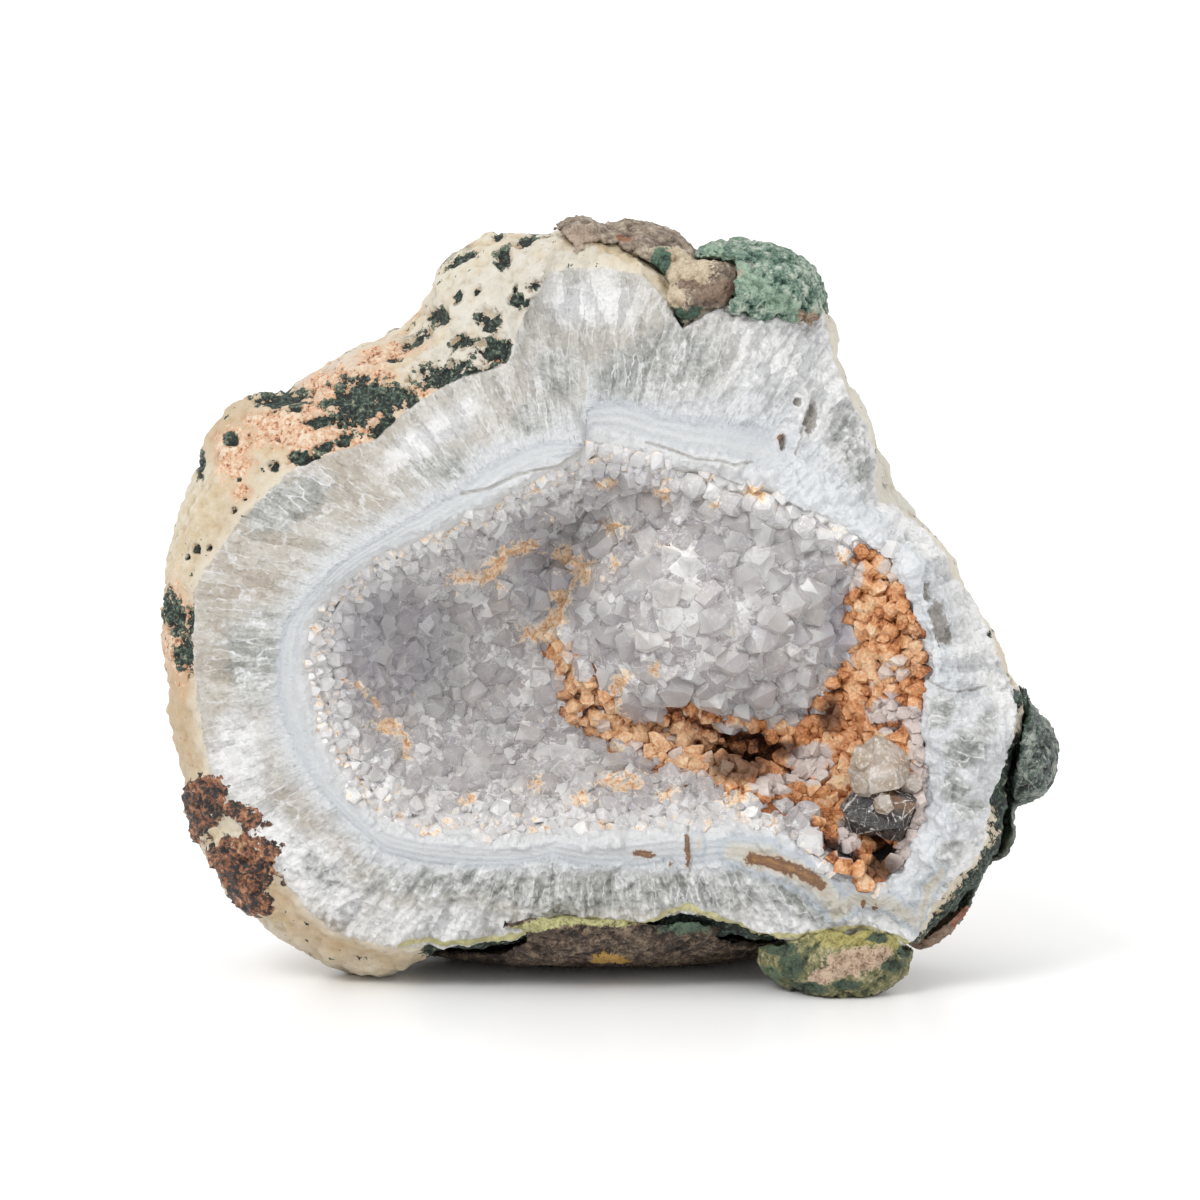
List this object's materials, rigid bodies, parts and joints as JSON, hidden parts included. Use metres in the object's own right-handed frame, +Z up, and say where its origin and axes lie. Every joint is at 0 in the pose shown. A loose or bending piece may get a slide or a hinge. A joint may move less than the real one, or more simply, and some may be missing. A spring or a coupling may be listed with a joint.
{
  "type": "quartz geode specimen",
  "caption": "Broken geode that stands on its edge: white banded quartz wall with a cream skin, a crystal-lined hollow, ochre crystals and dark basalt crusts.",
  "frame": {"origin": "middle of the specimen's bounding box in X and Y, on the floor it stands on", "axes": "+Z up; the broken face with the hollow looks along -Y; +X to the viewer's right, along the longest side"},
  "size_m": [0.15, 0.0616, 0.1275],
  "materials": {
    "banded_quartz": "rough white and beige quartz with a waxy cream skin",
    "clear_quartz": "glassy, translucent",
    "ochre_quartz": "iron-stained, slightly shiny",
    "smoky_quartz": "glassy, dark",
    "brown_basalt": "matt, grainy",
    "olive_stone": "matt, earthy",
    "dark_basalt": "matt, grainy",
    "celadonite": "matt, earthy"
  },
  "bodies": {
    "root": {"geode_wall": "banded_quartz", "quartz_druse": "clear_quartz", "ochre_crystals": "ochre_quartz", "smoky_crystal": "smoky_quartz", "basalt_base": "brown_basalt", "green_foot": "olive_stone", "basalt_knob": "dark_basalt", "basalt_cap": "brown_basalt", "celadonite_cap": "celadonite"}
  },
  "joints": []
}
